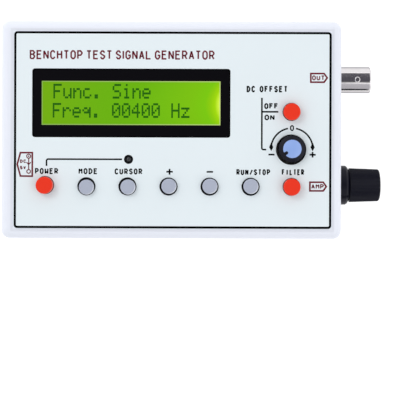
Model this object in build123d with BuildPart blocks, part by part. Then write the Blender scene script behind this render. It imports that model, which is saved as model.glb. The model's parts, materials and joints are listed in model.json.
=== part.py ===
from build123d import *

import os
from math import cos, pi, radians, sin, sqrt

# Bench function generator in a two-part plastic box. Millimetres, origin at the centre of the
# box's underside: +X to the output end, +Y to the top of the panel, +Z out of the panel.

# ---------------------------------------------------------------- driving dimensions

# Case
case_length = 122.5
case_width = 78.4
case_height = 25.8
wall = 2.0
edge_radius = 3.0
split_z = 13.5
split_groove = 0.2
tongue_width = 0.9
tongue_height = 1.2
tongue_gap = 0.1
post_x = 55.3
post_y = 33.3
post_radius = 4.2

# Panel
overlay_length = 114.0
overlay_width = 70.7
overlay_radius = 1.1
overlay_thickness = 0.25
overlay_centre = (0.45, -0.1)
window_length = 71.1
window_width = 24.7
window_radius = 1.0
control_hole_radius = 3.25
knob_hole_radius = 5.45
led_hole_radius = 1.65
button_row_y = -20.3
button_pitch = 14.72
first_button_x = -45.1

# Boards
board_length = 115.4
board_width = 57.0
board_thickness = 1.6
board_low_z = 3.6
board_screw_places = [(-51.5, 25.5), (-51.5, -25.5), (36.0, 25.5), (35.0, -26.0)]
header_pins = 16
header_pitch = 2.54

# Display module
lcd_centre = (-14.37, 9.59)
lcd_board_length = 80.0
lcd_board_width = 36.0
lcd_board_low_z = 15.9
bezel_gap = 0.12
bezel_high_z = 25.6
bezel_sheet = 0.5
view_centre = (-14.5, 9.6)
view_length = 64.2
view_width = 15.8

# Buttons
red_cap_radius = 3.05
grey_cap_radius = 2.7
red_cap_high_z = 29.05
grey_cap_high_z = 27.85
grey_cap_shifts = {
    "mode": (0.1, -0.26),
    "cursor": (0.24, -0.18),
    "plus": (0.18, 0.15),
    "minus": (0.13, 0.18),
    "run_stop": (0.09, 0.19),
}
latch_travel = 2.0
tact_travel = 0.3

# Knobs and sockets
offset_hole_centre = (43.0, -6.95)
offset_knob_centre = (43.22, -6.63)
offset_pointer_angle = 214.6
amplitude_y = -20.2
amplitude_pointer_angle = 36.2
output_y = 18.6
end_axis_z = 12.2
jack_y = -12.3
jack_axis_z = 11.7
led_place = (-15.3, -10.6)

# ---------------------------------------------------------------- places worked out from them

inner_length = case_length - 2 * wall
inner_width = case_width - 2 * wall
inner_radius = edge_radius - wall
ceiling_z = case_height - wall
board_top_z = board_low_z + board_thickness
lcd_board_top_z = lcd_board_low_z + board_thickness
post_places = [(x, y) for x in (-post_x, post_x) for y in (-post_y, post_y)]
lcd_screw_places = [(lcd_centre[0] + x, lcd_centre[1] + y) for x in (-37.5, 37.5) for y in (-15.5, 15.5)]
header_centre = (lcd_centre[0] - lcd_board_length / 2 + 8.0 + header_pitch * (header_pins - 1) / 2,
                 lcd_centre[1] + lcd_board_width / 2 - 2.5)

row_x = [first_button_x + button_pitch * i for i in range(7)]
latch_places = {
    "power": (row_x[0] - 0.1, button_row_y + 0.4),
    "filter": (row_x[6], button_row_y),
    "offset": (row_x[6] - 0.1, 6.6),
}
tact_places = {
    "mode": (row_x[1], button_row_y),
    "cursor": (row_x[2], button_row_y),
    "plus": (row_x[3], button_row_y),
    "minus": (row_x[4], button_row_y),
    "run_stop": (row_x[5], button_row_y),
}

os.makedirs("parts", exist_ok=True)


# ---------------------------------------------------------------- shared steps

def save(piece, name):
    """Label a finished piece and write it to its own STEP file."""
    piece.part.label = name
    export_step(piece.part, f"parts/{name}.step")


def box_between(low, high, mode=Mode.ADD):
    """A box given by its lowest and highest corners."""
    size = [h - l for l, h in zip(low, high)]
    middle = [(h + l) / 2 for l, h in zip(low, high)]
    with Locations(tuple(middle)):
        Box(*size, mode=mode)


def disc(centre, radius, low_z, high_z, mode=Mode.ADD):
    """An upright cylinder between two heights."""
    with BuildSketch(Plane.XY.offset(low_z)) as section:
        with Locations(centre):
            Circle(radius)
    extrude(section.sketch, amount=high_z - low_z, mode=mode)


def end_rod(axis_y, axis_z, radius, low_x, high_x, mode=Mode.ADD):
    """A cylinder along X between two stations."""
    with BuildSketch(Plane.YZ.offset(low_x)) as section:
        with Locations((axis_y, axis_z)):
            Circle(radius)
    extrude(section.sketch, amount=high_x - low_x, mode=mode)


def panel_openings(mode=Mode.ADD):
    """The display window and the control holes, drawn in the active sketch."""
    with Locations(lcd_centre):
        RectangleRounded(window_length, window_width, window_radius, mode=mode)
    with Locations(*latch_places.values(), *tact_places.values()):
        Circle(control_hole_radius, mode=mode)
    with Locations(offset_hole_centre):
        Circle(knob_hole_radius, mode=mode)
    with Locations(led_place):
        Circle(led_hole_radius, mode=mode)


def cut_end_walls():
    """The socket and shaft openings of the end walls, which cross the parting line."""
    hole_centre_z = 13.5
    hole_radius = 6.27
    flat_height = 4.4
    with BuildSketch(Plane.YZ.offset(inner_length / 2 - 1)) as openings:
        with Locations((output_y, hole_centre_z)):
            Circle(hole_radius)
        with Locations((output_y, hole_centre_z + flat_height)):
            Rectangle(4 * hole_radius, 4 * hole_radius, align=(Align.CENTER, Align.MAX), mode=Mode.INTERSECT)
        with Locations((amplitude_y, end_axis_z)):
            Circle(3.75)
    extrude(openings.sketch, amount=wall + 2, mode=Mode.SUBTRACT)
    end_rod(jack_y, jack_axis_z, 4.1, -case_length / 2 - 1, -inner_length / 2 + 0.5, mode=Mode.SUBTRACT)


def pan_screws(places, head_radius, shank_radius, seat_z, tip_z, head_height):
    """Pan-head screws with a cross recess, driven from the seat towards the tip."""
    away = -1 if tip_z > seat_z else 1
    head_z = seat_z + away * head_height
    disc_low = min(seat_z, head_z)
    with Locations(*places):
        with Locations((0, 0, disc_low)):
            Cylinder(head_radius, head_height, align=(Align.CENTER, Align.CENTER, Align.MIN))
        with Locations((0, 0, min(seat_z, tip_z))):
            Cylinder(shank_radius, abs(tip_z - seat_z), align=(Align.CENTER, Align.CENTER, Align.MIN))
        with Locations((0, 0, head_z)):
            Box(1.3 * head_radius, 0.3 * head_radius, head_height, mode=Mode.SUBTRACT)
            Box(0.3 * head_radius, 1.3 * head_radius, head_height, mode=Mode.SUBTRACT)


# ---------------------------------------------------------------- case

def hollow_case():
    """The whole box, rounded outside and hollow inside, before it is parted."""
    with Locations((0, 0, case_height / 2)):
        block = Box(case_length, case_width, case_height)
    fillet(block.edges(), radius=edge_radius)
    with BuildSketch(Plane.XY.offset(wall)) as hollow:
        RectangleRounded(inner_length, inner_width, inner_radius)
    extrude(hollow.sketch, amount=case_height - 2 * wall, mode=Mode.SUBTRACT)


def rim_ring(width):
    """The inner part of the rim, drawn in the active sketch."""
    RectangleRounded(inner_length + 2 * width, inner_width + 2 * width, inner_radius + width)
    RectangleRounded(inner_length, inner_width, inner_radius, mode=Mode.SUBTRACT)


with BuildPart() as bottom_shell:
    hollow_case()
    split(bisect_by=Plane.XY.offset(split_z), keep=Keep.BOTTOM)
    chamfer(bottom_shell.faces().sort_by(Axis.Z)[-1].outer_wire().edges(), length=split_groove)
    with BuildSketch(Plane.XY.offset(split_z)):
        rim_ring(tongue_width)
    extrude(amount=tongue_height)
    # Corner posts, with a deep pocket below for each case screw
    screw_seat_z = 7.0
    with BuildSketch(Plane.XY.offset(wall)):
        with Locations(*post_places):
            Circle(post_radius)
    extrude(amount=split_z - wall)
    for place in post_places:
        disc(place, 2.7, 0, screw_seat_z, mode=Mode.SUBTRACT)
        disc(place, 1.6, screw_seat_z, split_z, mode=Mode.SUBTRACT)
    # Bosses that carry the main board
    with BuildSketch(Plane.XY.offset(wall)):
        with Locations(*board_screw_places):
            Circle(2.5)
    extrude(amount=board_low_z - wall)
    for place in board_screw_places:
        disc(place, 1.12, 1.0, board_low_z, mode=Mode.SUBTRACT)
    cut_end_walls()
save(bottom_shell, "bottom_shell")

with BuildPart() as top_shell:
    hollow_case()
    split(bisect_by=Plane.XY.offset(split_z), keep=Keep.TOP)
    chamfer(top_shell.faces().sort_by(Axis.Z)[0].outer_wire().edges(), length=split_groove)
    # Corner posts that take the case screws
    with BuildSketch(Plane.XY.offset(split_z)):
        with Locations(*post_places):
            Circle(post_radius)
    extrude(amount=ceiling_z - split_z)
    with BuildSketch(Plane.XY.offset(split_z)):
        rim_ring(tongue_width + tongue_gap)
    extrude(amount=tongue_height + tongue_gap, mode=Mode.SUBTRACT)
    for place in post_places:
        disc(place, 1.22, split_z, 21.0, mode=Mode.SUBTRACT)
    # Posts that carry the display board
    with BuildSketch(Plane.XY.offset(lcd_board_top_z)):
        with Locations(*lcd_screw_places):
            Circle(2.5)
    extrude(amount=ceiling_z - lcd_board_top_z)
    for place in lcd_screw_places:
        disc(place, 1.02, lcd_board_top_z, 22.5, mode=Mode.SUBTRACT)
    with BuildSketch(Plane.XY.offset(ceiling_z)):
        panel_openings()
    extrude(amount=wall, mode=Mode.SUBTRACT)
    cut_end_walls()
save(top_shell, "top_shell")

with BuildPart() as case_screws:
    pan_screws(post_places, 2.5, 1.2, screw_seat_z, 20.5, 2.0)
save(case_screws, "case_screws")

with BuildPart() as panel_overlay:
    with BuildSketch(Plane.XY.offset(case_height)):
        with Locations(overlay_centre):
            RectangleRounded(overlay_length, overlay_width, overlay_radius)
        panel_openings(Mode.SUBTRACT)
    extrude(amount=overlay_thickness)
save(panel_overlay, "panel_overlay")

# ---------------------------------------------------------------- display module

with BuildPart() as lcd_board:
    with BuildSketch(Plane.XY.offset(lcd_board_low_z)):
        with Locations(lcd_centre):
            Rectangle(lcd_board_length, lcd_board_width)
        with Locations(*lcd_screw_places):
            Circle(1.25, mode=Mode.SUBTRACT)
        with Locations(header_centre):
            with GridLocations(header_pitch, 1, header_pins, 1):
                Circle(0.5, mode=Mode.SUBTRACT)
    extrude(amount=board_thickness)
save(lcd_board, "lcd_board")

with BuildPart() as lcd_bezel:
    outer_length = window_length - 2 * bezel_gap
    outer_width = window_width - 2 * bezel_gap
    with BuildSketch(Plane.XY.offset(lcd_board_top_z)):
        with Locations(lcd_centre):
            RectangleRounded(outer_length, outer_width, window_radius - bezel_gap)
    extrude(amount=bezel_high_z - lcd_board_top_z)
    fillet(lcd_bezel.faces().sort_by(Axis.Z)[-1].edges(), radius=0.3)
    with BuildSketch(Plane.XY.offset(lcd_board_top_z)):
        with Locations(lcd_centre):
            Rectangle(outer_length - 2 * bezel_sheet, outer_width - 2 * bezel_sheet)
    extrude(amount=bezel_high_z - lcd_board_top_z - bezel_sheet, mode=Mode.SUBTRACT)
    with BuildSketch(Plane.XY.offset(bezel_high_z - bezel_sheet)):
        with Locations(view_centre):
            Rectangle(view_length, view_width)
    extrude(amount=bezel_sheet, mode=Mode.SUBTRACT)
    chamfer(lcd_bezel.faces().sort_by(Axis.Z)[-1].inner_wires()[0].edges(), length=0.2)
save(lcd_bezel, "lcd_bezel")

polarizer_low_z = bezel_high_z - bezel_sheet - 0.2
glass_low_z = polarizer_low_z - 2.2


def display_slab(length, width, low_z, high_z, shift_y=0.0):
    """A flat block centred on the display."""
    with BuildSketch(Plane.XY.offset(low_z)) as slab:
        with Locations((lcd_centre[0], lcd_centre[1] + shift_y)):
            Rectangle(length, width)
    extrude(slab.sketch, amount=high_z - low_z)


with BuildPart() as lcd_polarizer:
    display_slab(66.0, 17.6, polarizer_low_z, bezel_high_z - bezel_sheet)
save(lcd_polarizer, "lcd_polarizer")

# Two bonded plates: the rear one is wider and carries the contacts
with BuildPart() as lcd_glass:
    display_slab(68.8, 22.6, glass_low_z, glass_low_z + 1.1)
    display_slab(68.8, 18.8, glass_low_z + 1.1, polarizer_low_z)
save(lcd_glass, "lcd_glass")

with BuildPart() as lcd_backlight:
    display_slab(68.0, 18.0, lcd_board_top_z, glass_low_z)
save(lcd_backlight, "lcd_backlight")

with BuildPart() as lcd_zebra_strips:
    for side in (-1, 1):
        display_slab(66.0, 1.6, lcd_board_top_z, glass_low_z, shift_y=side * 10.4)
save(lcd_zebra_strips, "lcd_zebra_strips")

with BuildPart() as lcd_controller_blobs:
    blob_radius = 6.5
    blob_height = 1.5
    ball_radius = (blob_radius ** 2 + blob_height ** 2) / (2 * blob_height)
    blob_places = [(lcd_centre[0] + x, lcd_centre[1] - 1.0) for x in (-17.0, 17.0)]
    with Locations(*[(x, y, lcd_board_low_z + ball_radius - blob_height) for x, y in blob_places]):
        Sphere(ball_radius)
    split(bisect_by=Plane.XY.offset(lcd_board_low_z), keep=Keep.BOTTOM)
save(lcd_controller_blobs, "lcd_controller_blobs")

strip_low_z = lcd_board_low_z - 2.5

with BuildPart() as lcd_header_strip:
    with BuildSketch(Plane.XY.offset(strip_low_z)):
        with Locations(header_centre):
            Rectangle(header_pitch * header_pins, 2.5)
            with GridLocations(header_pitch, 1, header_pins, 1):
                Rectangle(0.66, 0.66, mode=Mode.SUBTRACT)
    extrude(amount=lcd_board_low_z - strip_low_z)
save(lcd_header_strip, "lcd_header_strip")

with BuildPart() as lcd_header_pins:
    with BuildSketch(Plane.XY.offset(8.0)):
        with Locations(header_centre):
            with GridLocations(header_pitch, 1, header_pins, 1):
                Rectangle(0.64, 0.64)
    extrude(amount=10.6)
    chamfer(lcd_header_pins.edges().group_by(Axis.Z)[0], length=0.15)
save(lcd_header_pins, "lcd_header_pins")

with BuildPart() as lcd_header_socket:
    with BuildSketch(Plane.XY.offset(board_top_z)):
        with Locations(header_centre):
            Rectangle(header_pitch * header_pins, 2.5)
    extrude(amount=strip_low_z - board_top_z)
    with BuildSketch(Plane.XY.offset(board_top_z + 2.2)):
        with Locations(header_centre):
            with GridLocations(header_pitch, 1, header_pins, 1):
                Rectangle(0.9, 0.9)
    extrude(amount=strip_low_z - board_top_z - 2.2, mode=Mode.SUBTRACT)
save(lcd_header_socket, "lcd_header_socket")

with BuildPart() as lcd_screws:
    pan_screws(lcd_screw_places, 1.75, 1.0, lcd_board_low_z, 22.0, 1.3)
save(lcd_screws, "lcd_screws")

# ---------------------------------------------------------------- main board and its parts

contact_tail_x = 46.75
ground_pin_places = [(51.75, output_y - 4.5), (51.75, output_y + 4.5)]
led_leg_places = [(led_place[0] - 1.27, led_place[1]), (led_place[0] + 1.27, led_place[1])]

with BuildPart() as main_board:
    with BuildSketch(Plane.XY.offset(board_low_z)):
        Rectangle(board_length, board_width)
        with Locations(*board_screw_places):
            Circle(1.3, mode=Mode.SUBTRACT)
        with Locations((contact_tail_x, output_y)):
            Circle(0.6, mode=Mode.SUBTRACT)
        with Locations(*ground_pin_places):
            Circle(0.9, mode=Mode.SUBTRACT)
        with Locations(*led_leg_places):
            Circle(0.45, mode=Mode.SUBTRACT)
    extrude(amount=board_thickness)
save(main_board, "main_board")

with BuildPart() as board_screws:
    pan_screws(board_screw_places, 2.25, 1.1, board_top_z, 1.2, 1.7)
save(board_screws, "board_screws")


def legged_chip(centre, length, width, height, pins, pitch, span):
    """A chip with two rows of legs standing on the main board."""
    leg = 0.45 * pitch if pitch < 2 else 0.6
    body_low_z = board_top_z + 0.4
    x, y = centre
    box_between((x - length / 2, y - width / 2, body_low_z), (x + length / 2, y + width / 2, body_low_z + height))
    for side in (-1, 1):
        reach = (span - width) / 2
        middle_y = y + side * (width + reach) / 2
        with Locations((x, middle_y, board_top_z + 0.4)):
            with GridLocations(pitch, 1, pins // 2, 1):
                Box(leg, reach, 0.8)


with BuildPart() as controller_chip:
    legged_chip((-20.0, 10.0), 34.6, 6.6, 3.3, 28, 2.54, 7.8)
    with Locations((-37.3, 10.0, board_top_z + 3.7)):
        Cylinder(0.9, 1.0, mode=Mode.SUBTRACT)
save(controller_chip, "controller_chip")

with BuildPart() as op_amp_chips:
    for chip_y in (5.0, 14.0):
        legged_chip((31.0, chip_y), 4.9, 3.9, 1.5, 8, 1.27, 6.0)
save(op_amp_chips, "op_amp_chips")

with BuildPart() as resistor_network:
    box_between((0.0, 13.9, board_top_z), (20.0, 16.1, board_top_z + 5.0))
    fillet(resistor_network.edges().filter_by(Axis.Z), radius=0.8)
save(resistor_network, "resistor_network")

with BuildPart() as crystal:
    with BuildSketch(Plane.XY.offset(board_top_z)):
        with Locations((-22.0, 0.0)):
            SlotOverall(11.2, 4.7)
    extrude(amount=0.5)
    with BuildSketch(Plane.XY.offset(board_top_z + 0.5)):
        with Locations((-22.0, 0.0)):
            SlotOverall(10.2, 3.7)
    extrude(amount=3.0)
    fillet(crystal.faces().sort_by(Axis.Z)[-1].edges(), radius=0.4)
save(crystal, "crystal")

with BuildPart() as electrolytic_capacitors:
    can_radius = 3.15
    can_places = [(16.0, -5.0), (24.0, -5.0), (-44.0, 9.0)]
    for place in can_places:
        disc(place, can_radius, board_top_z, board_top_z + 7.0)
        disc(place, can_radius, board_top_z + 1.2, board_top_z + 1.5, mode=Mode.SUBTRACT)
        disc(place, can_radius - 0.25, board_top_z + 1.2, board_top_z + 1.5)
save(electrolytic_capacitors, "electrolytic_capacitors")

with BuildPart() as boost_inductor:
    drum_place = (-38.0, -2.0)
    disc(drum_place, 4.0, board_top_z, board_top_z + 1.0)
    disc(drum_place, 3.3, board_top_z + 1.0, board_top_z + 4.2)
    disc(drum_place, 4.0, board_top_z + 4.2, board_top_z + 5.2)
save(boost_inductor, "boost_inductor")

with BuildPart() as contrast_trimmer:
    box_between((-1.3, 18.7, board_top_z), (5.3, 25.3, board_top_z + 4.0))
    disc((2.0, 22.0), 2.6, board_top_z + 4.0, board_top_z + 4.7)
    box_between((-0.2, 21.7, board_top_z + 4.2), (4.2, 22.3, board_top_z + 4.7), mode=Mode.SUBTRACT)
save(contrast_trimmer, "contrast_trimmer")

# ---------------------------------------------------------------- indicator

led_flange_z = 18.5
led_radius = 1.5

with BuildPart() as power_led:
    disc(led_place, led_radius + 0.4, led_flange_z, led_flange_z + 1.0)
    disc(led_place, led_radius, led_flange_z + 1.0, 25.1)
    fillet(power_led.faces().sort_by(Axis.Z)[-1].edges(), radius=led_radius - 0.1)
save(power_led, "power_led")

with BuildPart() as power_led_legs:
    with BuildSketch(Plane.XY.offset(2.6)):
        with Locations(*led_leg_places):
            Rectangle(0.5, 0.5)
    extrude(amount=led_flange_z - 2.6)
save(power_led_legs, "power_led_legs")

# ---------------------------------------------------------------- power inlet

jack_front_x = -59.05
jack_bore_radius = 3.15
jack_bore_depth = 9.0

with BuildPart() as dc_jack_body:
    box_between((jack_front_x, jack_y - 4.5, board_top_z), (jack_front_x + 14.0, jack_y + 4.5, 15.4))
    box_between((jack_front_x, jack_y - 4.5, 15.4), (jack_front_x + 3.3, jack_y + 4.5, 16.2))
    end_rod(jack_y, jack_axis_z, jack_bore_radius, jack_front_x, jack_front_x + jack_bore_depth, mode=Mode.SUBTRACT)
    end_rod(jack_y, jack_axis_z, 1.02, jack_front_x + jack_bore_depth, jack_front_x + 14.0, mode=Mode.SUBTRACT)
    box_between((jack_front_x + 1.0, jack_y - 1.4, 7.2), (jack_front_x + 8.6, jack_y + 1.4, 9.4), mode=Mode.SUBTRACT)
save(dc_jack_body, "dc_jack_body")

with BuildPart() as dc_jack_pin:
    end_rod(jack_y, jack_axis_z, 1.0, jack_front_x + 1.0, jack_front_x + 13.8)
    fillet(dc_jack_pin.faces().sort_by(Axis.X)[0].edges(), radius=0.4)
save(dc_jack_pin, "dc_jack_pin")

# A bowed leaf that presses on the plug's sleeve
with BuildPart() as dc_jack_spring:
    with BuildSketch(Plane.XZ.offset(-jack_y - 1.2)):
        with BuildLine():
            leaf_low = [(jack_front_x + 1.3, 7.3), (jack_front_x + 5.0, 8.7), (jack_front_x + 8.4, 7.3)]
            leaf_high = [(x, z + 0.3) for x, z in reversed(leaf_low)]
            Polyline(*leaf_low, *leaf_high, close=True)
        make_face()
    extrude(amount=2.4)
save(dc_jack_spring, "dc_jack_spring")

# ---------------------------------------------------------------- latching buttons

latch_body_high_z = 12.5
latch_cavity_z = 6.0
red_cap_low_z = 15.5
cap_pocket_depth = 3.0

for name, (x, y) in latch_places.items():
    with BuildPart() as switch_body:
        box_between((x - 2.9, y - 2.9, board_top_z), (x + 2.9, y + 2.9, latch_body_high_z))
        fillet(switch_body.edges().filter_by(Axis.Z), radius=0.3)
        box_between((x - 1.7, y - 1.7, latch_cavity_z), (x + 1.7, y + 1.7, latch_body_high_z), mode=Mode.SUBTRACT)
    save(switch_body, f"{name}_switch")

    with BuildPart() as plunger:
        low_z = latch_cavity_z + latch_travel + 0.2
        box_between((x - 1.5, y - 1.5, low_z), (x + 1.5, y + 1.5, red_cap_low_z + cap_pocket_depth - 0.1))
    save(plunger, f"{name}_plunger")

    with BuildPart() as red_cap:
        disc((x, y), red_cap_radius, red_cap_low_z, red_cap_high_z)
        fillet(red_cap.faces().sort_by(Axis.Z)[-1].edges(), radius=0.3)
        pocket_high_z = red_cap_low_z + cap_pocket_depth
        box_between((x - 1.52, y - 1.52, red_cap_low_z), (x + 1.52, y + 1.52, pocket_high_z), mode=Mode.SUBTRACT)
    save(red_cap, f"{name}_button")

# ---------------------------------------------------------------- momentary buttons

tact_body_high_z = board_top_z + 3.5
tact_plunger_radius = 1.7
tact_pocket_z = tact_body_high_z - 1.2
grey_cap_low_z = 12.0
grey_pocket_z = 14.5
flange_high_z = ceiling_z - 0.4

with BuildPart() as tact_switches:
    for x, y in tact_places.values():
        box_between((x - 3.0, y - 3.0, board_top_z), (x + 3.0, y + 3.0, tact_body_high_z))
        for leg_x in (x - 3.4, x + 3.4):
            for leg_y in (y - 2.25, y + 2.25):
                box_between((leg_x - 0.5, leg_y - 0.35, board_top_z), (leg_x + 0.5, leg_y + 0.35, board_top_z + 0.3))
        disc((x, y), tact_plunger_radius + 0.3, tact_pocket_z, tact_body_high_z, mode=Mode.SUBTRACT)
save(tact_switches, "tact_switches")

for name, (hole_x, hole_y) in tact_places.items():
    with BuildPart() as plunger:
        low_z = tact_pocket_z + tact_travel + 0.15
        disc((hole_x, hole_y), tact_plunger_radius, low_z, grey_pocket_z - 0.1)
    save(plunger, f"{name}_plunger")

    # The cap sits a little off the middle of its hole; a flange below the panel keeps it in
    shift_x, shift_y = grey_cap_shifts[name]
    cap_centre = (hole_x + shift_x, hole_y + shift_y)
    with BuildPart() as grey_cap:
        disc(cap_centre, grey_cap_radius, grey_cap_low_z, grey_cap_high_z)
        fillet(grey_cap.faces().sort_by(Axis.Z)[-1].edges(), radius=0.5)
        disc(cap_centre, grey_cap_radius + 1.1, flange_high_z - 1.0, flange_high_z)
        disc((hole_x, hole_y), tact_plunger_radius + 0.02, grey_cap_low_z, grey_pocket_z, mode=Mode.SUBTRACT)
    save(grey_cap, f"{name}_button")

# ---------------------------------------------------------------- shared knob steps

shaft_radius = 3.0
shaft_flat = 2.4
knob_fit = 0.03


def shaft_section(clearance=0.0):
    """A round shaft with one flat, on the side away from the pointer."""
    Circle(shaft_radius + clearance)
    with Locations((-shaft_flat - clearance, 0)):
        Rectangle(4 * shaft_radius, 4 * shaft_radius, align=(Align.MIN, Align.CENTER), mode=Mode.INTERSECT)


def dome_drop(rise, reach):
    """How far a spherical dome has fallen halfway out from its top."""
    ball_radius = (rise ** 2 + reach ** 2) / (2 * rise)
    return ball_radius - sqrt(ball_radius ** 2 - (reach / 2) ** 2)


def insert_outline(plane, radius, slot_width, slot_start, corner):
    """A disc with a slot for the pointer, which runs out to its edge along the plane's X."""
    with BuildSketch(plane) as outline:
        Circle(radius)
        with Locations((slot_start + slot_width / 2, 0)):
            Circle(slot_width / 2, mode=Mode.SUBTRACT)
            Rectangle(2 * radius, slot_width, align=(Align.MIN, Align.CENTER), mode=Mode.SUBTRACT)
        fillet(outline.vertices().sort_by(Axis.X)[-2:], radius=corner)
    return outline.sketch


# ---------------------------------------------------------------- offset potentiometer and knob

offset_x, offset_y = offset_knob_centre
offset_pointer = (cos(radians(offset_pointer_angle)), sin(radians(offset_pointer_angle)), 0)
offset_axis = Axis((offset_x, offset_y, 0), (0, 0, 1))
offset_shaft_low_z = 8.2
offset_shaft_high_z = 27.6
offset_knob_low_z = 22.4
offset_knob_radius = 4.85
offset_flute_z = 28.25
offset_shoulder_z = 29.3
offset_insert_radius = 3.3
offset_dome_z = 29.85


def offset_plane(height):
    """A level plane on the offset knob's axis, its X towards the pointer."""
    return Plane(origin=(offset_x, offset_y, height), x_dir=offset_pointer, z_dir=(0, 0, 1))


with BuildPart() as offset_pot_body:
    box_between((offset_x - 4.9, offset_y - 5.7, board_top_z), (offset_x + 4.9, offset_y + 5.7, board_top_z + 6.8))
    disc(offset_knob_centre, 3.9, board_top_z + 6.8, board_top_z + 11.8)
    disc(offset_knob_centre, shaft_radius + 0.05, offset_shaft_low_z - 0.2, board_top_z + 11.8, mode=Mode.SUBTRACT)
save(offset_pot_body, "offset_pot_body")

with BuildPart() as offset_pot_shaft:
    disc(offset_knob_centre, shaft_radius, offset_shaft_low_z, offset_knob_low_z - 1)
    with BuildSketch(offset_plane(offset_knob_low_z - 1)):
        shaft_section()
    extrude(amount=offset_shaft_high_z - offset_knob_low_z + 1)
save(offset_pot_shaft, "offset_pot_shaft")


def offset_dome():
    """The knob's outer form: straight side, bevelled shoulder and low domed top."""
    drop = dome_drop(offset_dome_z - offset_shoulder_z, offset_insert_radius)
    with BuildSketch(Plane(origin=(offset_x, offset_y, 0), x_dir=(1, 0, 0), z_dir=(0, -1, 0))) as profile:
        with BuildLine():
            Polyline(
                (offset_insert_radius, offset_shoulder_z),
                (offset_knob_radius, offset_flute_z),
                (offset_knob_radius, offset_knob_low_z),
                (0, offset_knob_low_z),
                (0, offset_dome_z),
            )
            ThreePointArc(
                (0, offset_dome_z),
                (offset_insert_radius / 2, offset_dome_z - drop),
                (offset_insert_radius, offset_shoulder_z),
            )
        make_face()
    revolve(profile.sketch, axis=offset_axis)


with BuildPart() as offset_knob:
    flutes = 24
    flute_radius = 0.8
    offset_dome()
    with BuildSketch(offset_plane(offset_knob_low_z)):
        with PolarLocations(offset_knob_radius + flute_radius - 0.2, flutes, start_angle=180 / flutes):
            Circle(flute_radius)
    extrude(amount=offset_dome_z - offset_knob_low_z, mode=Mode.SUBTRACT)
    with BuildSketch(offset_plane(offset_knob_low_z)):
        shaft_section(knob_fit)
    extrude(amount=offset_shaft_high_z + 0.2 - offset_knob_low_z, mode=Mode.SUBTRACT)
    recess = insert_outline(offset_plane(offset_shoulder_z - 0.7), offset_insert_radius, 1.1, 1.95, 0.2)
    extrude(recess, amount=2.0, mode=Mode.SUBTRACT)
save(offset_knob, "offset_knob")

with BuildPart() as offset_knob_insert:
    offset_dome()
    outline = insert_outline(offset_plane(offset_shoulder_z - 0.7), offset_insert_radius - 0.03, 1.16, 1.92, 0.2)
    extrude(outline, amount=2.0, mode=Mode.INTERSECT)
save(offset_knob_insert, "offset_knob_insert")

# ---------------------------------------------------------------- amplitude potentiometer and knob

amplitude_pointer = (0, -sin(radians(amplitude_pointer_angle)), cos(radians(amplitude_pointer_angle)))
amplitude_pot_x = 47.35
bushing_x = amplitude_pot_x + 6.8
bushing_tip_x = 60.65
skirt_x = 61.7
skirt_radius = 7.2
neck_radius = 5.5
grip_x = 65.35
grip_radius = 6.25
tip_radius = 5.85
rim_x = 76.05
dome_x = 76.75
amplitude_insert_radius = 4.5
amplitude_shaft_tip_x = 73.6
amplitude_axis = Axis((0, amplitude_y, end_axis_z), (1, 0, 0))


def amplitude_plane(station):
    """A plane across the amplitude knob's axis, its X towards the pointer."""
    return Plane(origin=(station, amplitude_y, end_axis_z), x_dir=amplitude_pointer, z_dir=(1, 0, 0))


def knurled_section(radius):
    """A ring of fine V-shaped teeth, drawn in the active sketch."""
    teeth = 72
    depth = 0.16
    corners = []
    for i in range(2 * teeth):
        r = radius - depth * (i % 2)
        corners.append((r * cos(pi * i / teeth), r * sin(pi * i / teeth)))
    Polygon(*corners, align=None)


def amplitude_dome(mode=Mode.ADD):
    """The grip's envelope: rounded tip edge and low domed end."""
    low_x = grip_x - 0.1
    edge_x = rim_x + 0.35
    end_radius = tip_radius - 0.8
    drop = dome_drop(dome_x - edge_x, end_radius)
    with BuildSketch(Plane.XZ.offset(-amplitude_y)) as profile:
        with BuildLine():
            Polyline(
                (dome_x, end_axis_z),
                (low_x, end_axis_z),
                (low_x, end_axis_z + grip_radius + 0.1),
                (rim_x - 0.35, end_axis_z + tip_radius + 0.05),
            )
            tip = ThreePointArc(
                (rim_x - 0.35, end_axis_z + tip_radius + 0.05),
                (rim_x + 0.1, end_axis_z + tip_radius - 0.2),
                (edge_x, end_axis_z + end_radius),
            )
            ThreePointArc(
                tip @ 1,
                (dome_x - drop, end_axis_z + end_radius / 2),
                (dome_x, end_axis_z),
            )
        make_face()
    revolve(profile.sketch, axis=amplitude_axis, mode=mode)


with BuildPart() as amplitude_pot_body:
    box_between((amplitude_pot_x, amplitude_y - 4.9, board_top_z), (bushing_x, amplitude_y + 4.9, 17.1))
    end_rod(amplitude_y, end_axis_z, 3.6, bushing_x, bushing_tip_x)
    end_rod(amplitude_y, end_axis_z, shaft_radius + 0.05, amplitude_pot_x + 1.5, bushing_tip_x, mode=Mode.SUBTRACT)
save(amplitude_pot_body, "amplitude_pot_body")

with BuildPart() as amplitude_pot_shaft:
    end_rod(amplitude_y, end_axis_z, shaft_radius, amplitude_pot_x + 1.7, skirt_x)
    with BuildSketch(amplitude_plane(skirt_x)):
        shaft_section()
    extrude(amount=amplitude_shaft_tip_x - skirt_x)
save(amplitude_pot_shaft, "amplitude_pot_shaft")

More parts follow.
